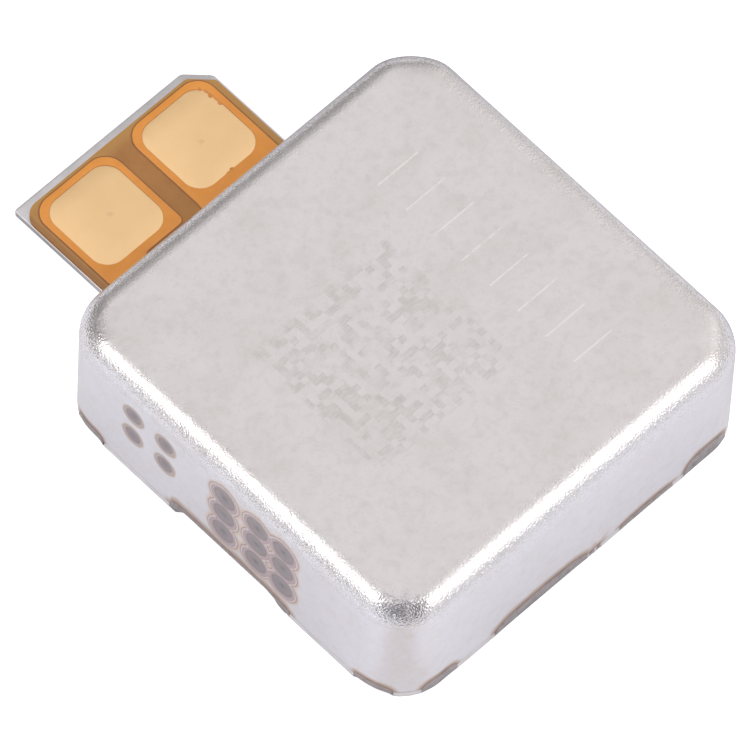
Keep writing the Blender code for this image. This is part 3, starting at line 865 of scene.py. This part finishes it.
def film_material(name, colours, copper_below):
    s = Shader(name)
    cloud = s.noise(1.8, 3.0, 0.55)
    colour = s.ramp(s.span(cloud, 0.3, 0.7), colours)
    normal_z = s.split(s.add("ShaderNodeNewGeometry").outputs["Normal"])[2]
    x, y = s.split(s.place)[:2]
    if not copper_below:
        left, right = FILM_LOW.x / MM, FILM_HIGH.x / MM
        inward = s.math("MINIMUM", s.minus(x, left), s.minus(right, x))
        inward = s.math("MINIMUM", inward, s.minus(FILM_HIGH.y / MM, y))
        colour = s.mix(s.span(inward, 0.35, 0.04, 0.0, 0.75), colour, (0.50, 0.27, 0.070))
        # Painted shade: the bare film is drawn darker along its -X edge.
        colour = s.mix(s.span(x, left + 0.13, left + 0.05, 0.0, 0.7), colour, (0.30, 0.125, 0.04))
    # Painted shade: faces tilted at the film's steps and round the pad windows take one brown, darker than
    # the film over copper, which draws shade lines along them.
    colour = s.mix(s.span(normal_z, 0.98, 0.6, 0.0, 0.8), colour, (0.52, 0.20, 0.050))
    speck = s.noise(26.0, 2.0)
    colour = s.mix(s.span(speck, 0.55, 0.8, 0.0, 0.12), colour, (0.25, 0.13, 0.05))
    waves = s.bump(s.noise(2.5, 2.0), 0.010)
    skin = s.bump(s.noise(40.0, 2.0), 0.0008, normal=waves)
    return s.finish(colour, s.span(cloud, 0.3, 0.7, 0.36, 0.46), 0.0, skin, Coat_Weight=0.15)


def gold_material():
    s = Shader("pad_gold")
    grain = s.noise(28.0, 3.0, 0.6)
    cloud = s.noise(1.6, 3.0, 0.5)
    colour = s.mix(s.span(cloud, 0.35, 0.65), (0.985, 0.675, 0.360), (1.0, 0.705, 0.385))
    colour = s.mix(s.span(grain, 0.5, 0.8, 0.0, 0.15), colour, (0.80, 0.50, 0.26))
    dent = None
    for side, (low, high) in PADS.items():
        middle = (low + high) / (2 * MM)
        spot = (middle.x + PROBE_OFF[side][0], middle.y + PROBE_OFF[side][1], high.z / MM)
        away = s.vector("LENGTH", s.vector("SUBTRACT", s.place, spot))
        dent = away if dent is None else s.math("MINIMUM", dent, away)
    touched = s.span(s.plus(dent, s.span(grain, 0.3, 0.7, -0.02, 0.02)), 0.075, 0.03)
    colour = s.mix(s.times(touched, 0.35), colour, (0.74, 0.50, 0.28))
    surface = s.bump(s.minus(s.times(grain, 0.4), touched), 0.003)
    return s.finish(colour, s.span(cloud, 0.3, 0.7, 0.42, 0.5), 1.0, surface)


# ---------------------------------------- inside the can

COIL_LOW, COIL_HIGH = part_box("voice_coil")
COIL_WINDOW = (1.5 * MM, 2.8 * MM)
COIL_OUTER_R = 1.25 * MM
COIL_WINDOW_R = 0.35 * MM
SPRING_LOW, SPRING_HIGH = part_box("leaf_spring_left")
SPRING_T = 0.12 * MM


def racetrack(half_x, half_y, radius, per_side=6, per_corner=14):
    """Stations round a rounded rectangle, the same number for every size."""
    points = []
    for side in range(4):
        turn = Matrix.Rotation(math.pi / 2 * side, 2)
        a, b = (half_x, half_y) if side % 2 == 0 else (half_y, half_x)
        for i in range(per_side):
            points.append(turn @ Vector((a, -(b - radius) + 2 * (b - radius) * i / per_side)))
        for i in range(per_corner):
            angle = math.pi / 2 * i / per_corner
            bend = Vector((math.cos(angle), math.sin(angle))) * radius
            points.append(turn @ (Vector((a - radius, b - radius)) + bend))
    return np.array([tuple(point) for point in points])


def coil_winding():
    """The coil with its wires showing: a scalloped section swept round the racetrack."""
    inner = racetrack(COIL_WINDOW[0] / 2, COIL_WINDOW[1] / 2, COIL_WINDOW_R)
    outer = racetrack(COIL_HIGH.x, COIL_HIGH.y, COIL_OUTER_R)
    width = COIL_HIGH.x - COIL_WINDOW[0] / 2
    height = COIL_HIGH.z - COIL_LOW.z
    across, layers = 22, 9
    bulge = 0.5 * width / across
    section = []

    def wires(start, end, outward, count):
        for wire in range(count):
            for k in range(5):
                angle = math.pi * k / 5
                share = (wire + (1 - math.cos(angle)) / 2) / count
                lift = bulge * (math.sin(angle) * 0.8 - 0.8)
                section.append((Vector(start).lerp(Vector(end), share) + Vector(outward) * lift)[:])

    wires((0, 0), (width, 0), (0, -1), across)
    wires((width, 0), (width, height), (1, 0), layers)
    wires((width, height), (0, height), (0, 1), across)
    wires((0, height), (0, 0), (-1, 0), layers)
    rows = []
    for reach, lift in section:
        flat = inner + (outer - inner) * (reach / width)
        rows.append([(x, y, COIL_LOW.z + lift) for x, y in flat])
    rows.append(rows[0])
    mesh = grid_mesh("coil_winding", np.array(rows)[::-1], closed_u=True)
    bm = bmesh.new()
    bm.from_mesh(mesh)
    bmesh.ops.remove_doubles(bm, verts=bm.verts, dist=0.0001 * MM)
    bmesh.ops.recalc_face_normals(bm, faces=bm.faces)
    bm.to_mesh(mesh)
    bm.free()
    new_object("coil_winding", mesh, replaced=["voice_coil"], material=wire_material())


def spring_line():
    """The left spring's middle line seen from above, foot first."""
    foot_x = SPRING_LOW.x + SPRING_T / 2
    tab_x = SPRING_HIGH.x - SPRING_T / 2
    corners = [
        (foot_x, 0.55 * MM, 0),
        (foot_x, -1.85 * MM, 1.5 * MM),
        (-4.1 * MM, SPRING_LOW.y + SPRING_T / 2, 0.34 * MM),
        (-3.36 * MM, SPRING_LOW.y + SPRING_T / 2, 0.34 * MM),
        (tab_x, 1.3 * MM, 1.5 * MM),
        (tab_x, 2.95 * MM, 0),
    ]
    return rounded(corners, closed=False, step=0.03 * MM)


def leaf_strips():
    """The folded springs: strips with rounded edges, narrower along the arms than at foot and tab."""
    line = np.array(spring_line())
    steps = np.linalg.norm(np.diff(line, axis=0), axis=1)
    run = np.concatenate([[0], np.cumsum(steps)])
    fine = np.linspace(0, run[-1], 220)
    x, y = np.interp(fine, run, line[:, 0]), np.interp(fine, run, line[:, 1])
    along = np.stack([np.gradient(x), np.gradient(y)], -1)
    along /= np.linalg.norm(along, axis=1)[:, None]
    normal = np.stack([-along[:, 1], along[:, 0]], -1)
    middle, half = (SPRING_LOW.z + SPRING_HIGH.z) / 2, (SPRING_HIGH.z - SPRING_LOW.z) / 2
    edge = SPRING_T / 2
    section = []
    for end in (1, -1):
        for k in range(13):
            angle = math.pi * (k / 12 + (end < 0))
            section.append((edge * math.cos(angle), end, edge * math.sin(angle) * 0.6))
    share = fine / run[-1]
    waist = 1 - 0.16 * np.clip(np.sin(math.pi * np.clip((share - 0.2) / 0.6, 0, 1)), 0, 1) ** 0.7
    material = spring_material()
    for side, sign in (("left", 1), ("right", -1)):
        rows = []
        for off, end, lift in section:
            z = middle + end * (half - 0.6 * edge) * waist + lift
            px, py = x + normal[:, 0] * off, y + normal[:, 1] * off
            rows.append(np.stack([sign * px, sign * py, z], -1))
        mesh = bead_mesh(f"spring_strip_{side}", np.array(rows))
        node = f"leaf_spring_{side}"
        strip = new_object(mesh.name, mesh, None, [node], material=material)
        end = Vector((sign * -3.05 * MM, 0, 0))
        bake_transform(strip)


# ---------------------------------------- materials of kept nodes


def mottled(name, light, dark, roughness, metallic, grain, depth):
    """Two close colours in clouds and fine specks, over a fine grain of the given scale and depth."""
    s = Shader(name)
    cloud = s.noise(1.7, 3.0, 0.55)
    fine = s.noise(grain, 3.0, 0.65)
    colour = s.mix(s.span(cloud, 0.3, 0.7), light, dark)
    colour = s.mix(s.span(fine, 0.58, 0.78, 0.0, 0.5), colour, dark)
    worn = s.span(fine, 0.3, 0.7, roughness - 0.05, roughness + 0.05)
    return s.finish(colour, worn, metallic, s.bump(fine, depth))


def cellular(name, light, dark, roughness, scale, depth):
    """Open pores: pits between rounded cells."""
    s = Shader(name)
    cells = s.add("ShaderNodeTexVoronoi", feature="SMOOTH_F1")
    s.put(cells.inputs["Vector"], s.place)
    s.put(cells.inputs["Scale"], scale)
    pores = cells.outputs["Distance"]
    # Painted shade: the foam is drawn darker in the pits between its cells.
    colour = s.mix(s.span(pores, 0.25, 0.6), light, dark)
    return s.finish(colour, roughness, 0.0, s.bump(s.times(pores, -1.0), depth))


def wire_material():
    s = Shader("enamelled_wire")
    fine = s.noise(9.0, 3.0, 0.6)
    colour = s.mix(s.span(fine, 0.35, 0.7), (0.62, 0.24, 0.09), (0.42, 0.14, 0.05))
    # Painted shade: the wire turns darker where its surface turns away from the view.
    edge = s.add("ShaderNodeLayerWeight").outputs["Facing"]
    colour = s.mix(s.span(edge, 0.3, 0.9, 0.0, 0.6), colour, (0.25, 0.08, 0.03))
    return s.finish(colour, 0.3, 0.7, s.bump(fine, 0.004), Coat_Weight=0.5)


def spring_material():
    s = Shader("spring_steel_strip")
    x, y, z = s.split(s.place)[:3]
    rolled = s.noise(4.0, 3.0, 0.6, vector=s.join(x, s.times(y, 0.3), s.times(z, 9.0)))
    colour = s.mix(s.span(rolled, 0.3, 0.7), (0.60, 0.58, 0.55), (0.47, 0.45, 0.43))
    return s.finish(colour, s.span(rolled, 0.3, 0.7, 0.2, 0.32), 1.0, s.bump(rolled, 0.003))


def dress(material, *nodes):
    """Gives kept CAD nodes a material."""
    for node in nodes:
        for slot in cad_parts[node].material_slots:
            slot.material = material


def both(name):
    return f"{name}_left", f"{name}_right"


def kept_nodes():
    steel = mottled("block_steel", (0.66, 0.65, 0.63), (0.52, 0.51, 0.50), 0.33, 1.0, 18.0, 0.004)
    dress(steel, "yoke_plate", *both("spring_foot_plate"), *both("spring_tab_plate"), *both("limit_block"))
    sintered = mottled("sintered_tungsten", (0.34, 0.335, 0.35), (0.22, 0.22, 0.235), 0.42, 1.0, 20.0, 0.010)
    dress(sintered, "tungsten_weight")
    plated = mottled("plated_magnet", (0.66, 0.65, 0.62), (0.58, 0.57, 0.55), 0.2, 1.0, 8.0, 0.003)
    dress(plated, *both("magnet"))
    base = mottled("polyimide_base", (0.52, 0.25, 0.07), (0.42, 0.19, 0.05), 0.42, 0.0, 12.0, 0.002)
    dress(base, "flex_base_film")
    glue = mottled("adhesive_film", (0.74, 0.66, 0.46), (0.62, 0.54, 0.36), 0.5, 0.0, 6.0, 0.003)
    dress(glue, "flex_bond_film", "coil_bond_film")
    copper = mottled("etched_copper", (0.82, 0.42, 0.20), (0.62, 0.28, 0.12), 0.36, 1.0, 16.0, 0.002)
    dress(copper, *both("flex_trace"))
    solder = mottled("solder_alloy", (0.72, 0.72, 0.73), (0.52, 0.52, 0.54), 0.3, 1.0, 13.0, 0.008)
    dress(solder, "solder_joint_inner", "solder_joint_outer")
    dress(wire_material(), "coil_lead_inner", "coil_lead_outer")
    rubber = mottled("stop_rubber", (0.055, 0.055, 0.055), (0.03, 0.03, 0.032), 0.7, 0.0, 22.0, 0.006)
    dress(rubber, *both("bumper"))
    foam = cellular("damping_foam", (0.10, 0.10, 0.11), (0.02, 0.02, 0.025), 0.95, 16.0, 0.03)
    dress(foam, *both("damping_foam"))


# ---------------------------------------- studio


def softbox(s, direction, towards, size, soft):
    """1 in a soft-edged rectangle of the sky, seen from the motor."""
    centre = Vector(direction).normalized()
    right = Vector(towards).cross(centre).normalized()
    up = centre.cross(right)
    look = s.add("ShaderNodeTexCoord").outputs["Generated"]
    forward = s.vector("DOT_PRODUCT", look, tuple(centre))
    mask = s.span(forward, 0.0, 0.1)
    for axis, half in ((right, size[0]), (up, size[1])):
        across = s.math("DIVIDE", s.vector("DOT_PRODUCT", look, tuple(axis)), forward)
        mask = s.times(mask, s.span(s.math("ABSOLUTE", across), half + soft, half - soft))
    return mask


class World(Shader):
    def __init__(self):
        world = bpy.data.worlds.new("studio")
        bpy.context.scene.world = world
        world.use_nodes = True
        self.tree = world.node_tree
        self.background = self.tree.nodes["Background"]


# How bright the sky is towards +Y, where no softbox reaches: (y of the direction, level)
TAIL_SIDE = [
    (0.30, 1.0), (0.36, 0.86), (0.45, 0.73), (0.62, 0.57), (0.78, 0.40), (0.90, 0.43), (1.0, 0.50),
]


def studio():
    """A pale room with two softboxes above the near sides, dark between them and behind the tail."""
    world = World()
    look = world.add("ShaderNodeTexCoord").outputs["Generated"]
    x, y, z = world.split(look)[:3]
    level = world.span(z, -0.05, 0.45, 0.77, 1.06)
    level = world.times(level, world.ramp(y, TAIL_SIDE))
    corner = world.times(world.span(y, 0.42, 0.62), world.span(x, 0.36, 0.12))
    level = world.times(level, world.span(corner, 0.0, 1.0, 1.0, 0.72, smooth=False))
    skirt = world.times(
        world.span(x, 0.40, 0.15, 0.0, 0.25), world.span(y, 0.12, 0.30), world.span(y, 0.48, 0.34)
    )
    level = world.times(level, world.plus(skirt, 1.0))
    low_down = world.times(world.span(z, 0.60, 0.30), world.span(x, 0.35, -0.9, -0.06, -0.10))
    level = world.times(level, world.plus(low_down, 1.0))
    for box, size in (((-0.453, 0.315, 0.834), (0.36, 0.336)), ((0.36, -0.500, 0.787), (0.36, 0.365))):
        glow = softbox(world, box, (0, 0, 1), size, 0.16)
        level = world.math("MAXIMUM", level, world.times(glow, 2.6))
    level = world.times(level, world.span(x, 0.35, 0.52, 1.0, 0.86, smooth=False))
    back_left = world.times(
        world.span(x, -0.02, -0.22), world.span(z, 0.36, 0.08, 0.0, 0.95), world.span(y, 0.50, 0.75)
    )
    level = world.math("MAXIMUM", level, back_left)
    beside = world.times(world.span(x, 0.55, 0.75), world.span(y, 0.2, -0.1, 0.0, 0.10))
    level = world.times(level, world.minus(1.0, beside))
    ahead = world.vector("DOT_PRODUCT", look, tuple(FRONT))
    aside = world.math("ABSOLUTE", world.vector("DOT_PRODUCT", look, tuple(ACROSS)))
    reach = world.plus(0.21, world.times(ahead, 0.25))
    gap = world.times(
        world.span(world.minus(aside, reach), 0.0, -0.10),
        world.span(z, 0.12, 0.48),
        world.span(ahead, -0.53, -0.28),
    )
    level = world.times(level, world.span(gap, 0.0, 1.0, 1.0, 0.21, smooth=False))
    ray = world.add("ShaderNodeLightPath").outputs["Is Camera Ray"]
    tint = world.mix(gap, (1.0, 0.985, 0.98), (0.96, 0.95, 1.08))
    seen = world.vector("MULTIPLY", tint, world.join(level, level, level))
    world.put(world.background.inputs["Color"], world.mix(ray, seen, 1.0))
    bpy.context.scene.view_settings.view_transform = "Standard"


def floor():
    """A lit white table. In reflections it falls off behind the motor, where no softbox lights it."""
    half, z = 0.6, -0.01 * MM
    corners = [(-half, -half, z), (half, -half, z), (half, half, z), (-half, half, z)]
    mesh = bpy.data.meshes.new("floor")
    mesh.from_pydata(corners, [], [(0, 1, 2, 3)])
    s = Shader("floor_paper")
    x, y = s.split(s.place)[:2]
    behind = s.minus(s.span(y, 3.5, 7.0), s.span(y, 9.0, 15.0))
    behind = s.times(behind, s.span(x, -3.4, -2.0))
    right = s.minus(s.span(x, 3.5, 6.5), s.span(x, 9.0, 13.0))
    right = s.times(right, s.span(y, -6.0, -3.0))
    left = s.minus(s.span(x, -6.2, -7.4), s.span(x, -9.5, -12.0))
    far = s.span(s.vector("LENGTH", s.place), 9.0, 16.0)
    shade = s.times(
        s.span(behind, 0.0, 1.0, 1.0, 0.62),
        s.span(right, 0.0, 1.0, 1.0, 0.74),
        s.span(left, 0.0, 1.0, 1.0, 0.89),
        s.span(x, -3.8, -4.8, 1.0, 1.04),
        s.span(y, -3.8, -4.8, 1.0, 1.02),
        s.span(y, -8.0, -14.0, 1.0, 0.96),
        s.span(x, -8.0, -14.0, 1.0, 1.06),
    )
    level = s.times(s.span(far, 0.0, 1.0, 0.72, 0.79), shade)
    fibre = s.noise(3.0, 2.0)
    level = s.times(level, s.span(fibre, 0.4, 0.6, 0.99, 1.01))
    ray = s.add("ShaderNodeLightPath").outputs["Is Camera Ray"]
    level = s.math("MAXIMUM", level, s.times(ray, 0.5))
    lit = s.times(s.span(far, 0.0, 1.0, 0.32, 0.34), s.times(shade, shade))
    lit = s.math("MAXIMUM", lit, s.times(ray, 0.8))
    # Painted shadow: a warm, darker patch on the table in front of the can's near corner, reaching outward
    # along the diagonal and seen only in reflections.
    off = s.times(s.math("ABSOLUTE", s.minus(x, y)), 0.707)
    out = s.minus(s.times(s.plus(x, y), -0.707), 5.9)
    corner = s.span(s.minus(off, s.times(out, 0.25)), 1.15, 0.1)
    corner = s.times(corner, s.span(out, -0.6, 0.8), s.minus(1.0, ray))
    tint = s.mix(corner, (0.985, 0.98, 1.0), (0.80, 0.77, 0.74))
    cool = s.vector("MULTIPLY", tint, s.join(level, level, level))
    s.put(s.surface.inputs["Emission Color"], tint)
    s.put(s.surface.inputs["Emission Strength"], lit)
    new_object("floor", mesh, body=None, material=s.finish(cool, 0.9))


AZIMUTH = math.radians(-47.14)
ELEVATION = math.radians(60.81)
ROLL = math.radians(3.40)
LEVEL = math.cos(ELEVATION)
VIEW = Vector((math.sin(AZIMUTH) * LEVEL, -math.cos(AZIMUTH) * LEVEL, math.sin(ELEVATION)))
FRONT = Vector((VIEW.x, VIEW.y, 0)).normalized()
ACROSS = Vector((-FRONT.y, FRONT.x, 0))


def camera():
    """A long lens far away, so that parallel edges stay nearly parallel."""
    distance = 0.303
    frame_width = 13.555 * MM
    target = Vector((-0.508 * MM, 0.276 * MM, 1.53 * MM))
    data = bpy.data.cameras.new("camera")
    data.sensor_width = 36.0
    data.lens = data.sensor_width * distance / frame_width
    data.clip_start, data.clip_end = 0.01, 3.0
    obj = bpy.data.objects.new("camera", data)
    bpy.context.scene.collection.objects.link(obj)
    facing = VIEW.to_track_quat("Z", "Y")
    obj.rotation_mode = "QUATERNION"
    obj.rotation_quaternion = facing @ Matrix.Rotation(ROLL, 3, "Z").to_quaternion()
    obj.location = target + VIEW * distance
    bpy.context.scene.camera = obj


# ---------------------------------------- assembly

can_shell()
seam_welds(seam_material())
plate_sheet()
coverlay()
contact_faces()
squeezed_glue()
coil_winding()
leaf_strips()
kept_nodes()
studio()
floor()
camera()
